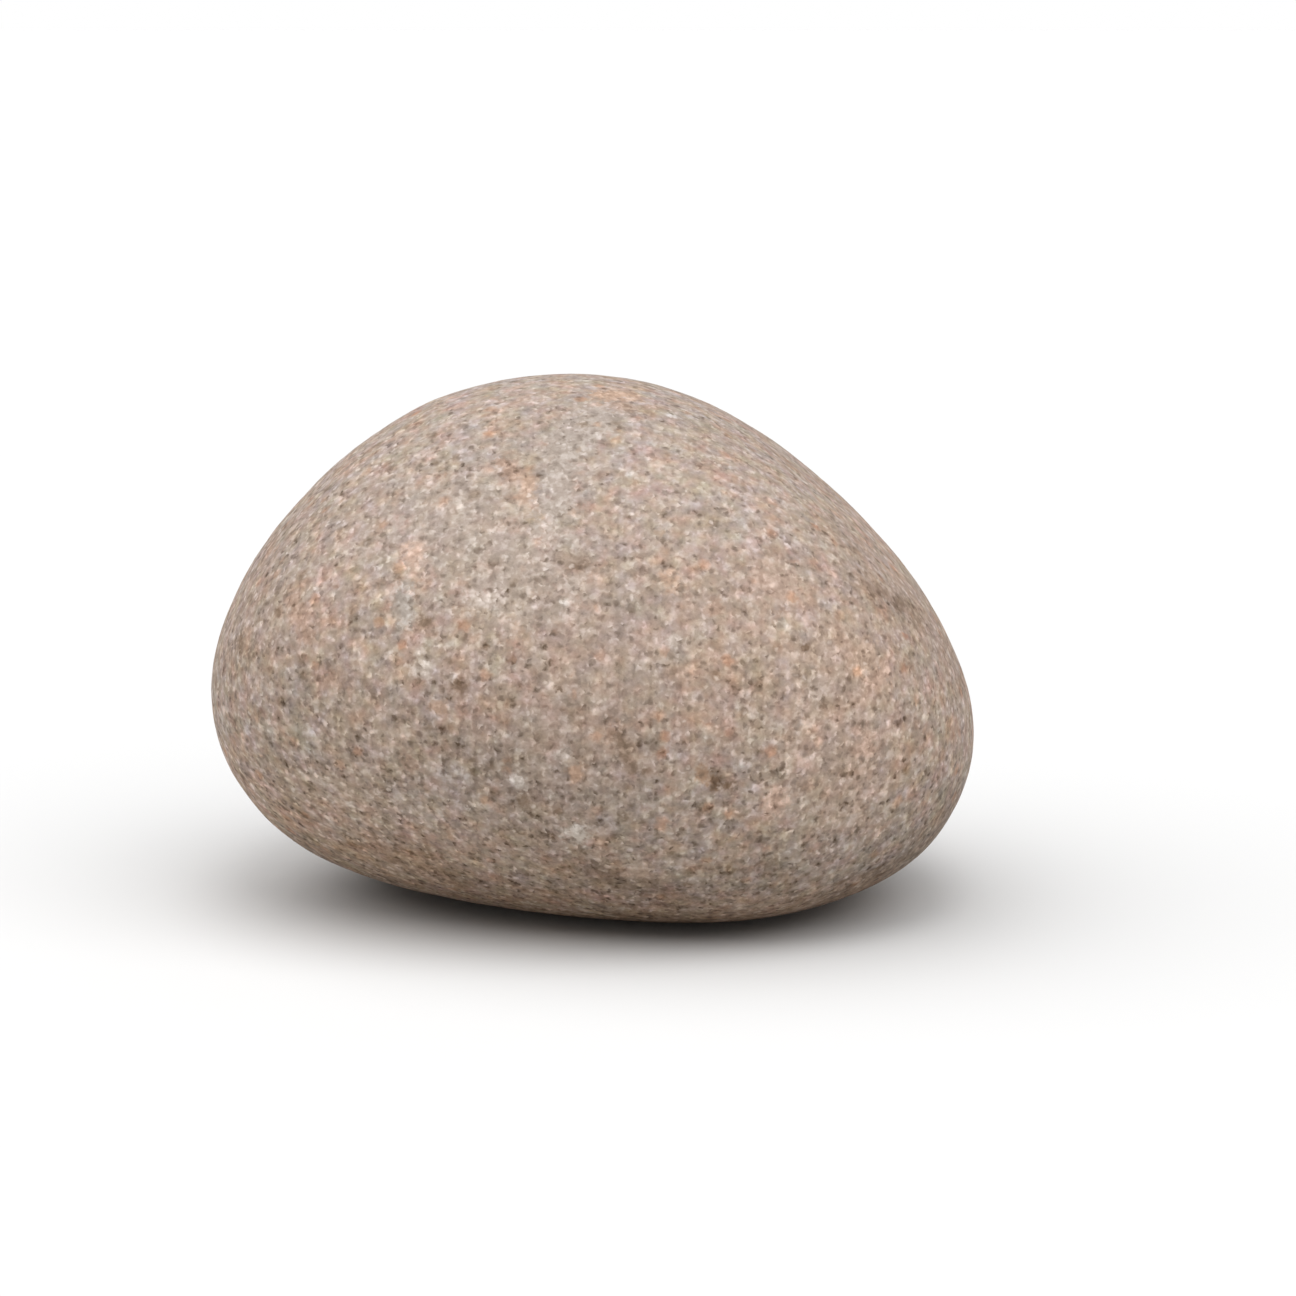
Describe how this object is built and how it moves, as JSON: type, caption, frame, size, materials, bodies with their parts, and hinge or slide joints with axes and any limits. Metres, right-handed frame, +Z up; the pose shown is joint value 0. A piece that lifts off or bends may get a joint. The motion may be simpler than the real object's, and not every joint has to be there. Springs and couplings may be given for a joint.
{
  "type": "granite cobble",
  "caption": "Rounded, water-worn cobble of fine-grained warm grey granite with a dull skin; rests on a small flat underneath, for scattering, edging or weighing down.",
  "frame": {"origin": "the point of the resting flat straight below the heart of the stone", "axes": "+Z up from the resting flat, +X along the long side to the right, -Y to the front"},
  "size_m": [0.1191, 0.1049, 0.083],
  "materials": {
    "granite": "dull, fine-grained, water-worn"
  },
  "bodies": {
    "root": {"stone": "granite"}
  },
  "joints": []
}
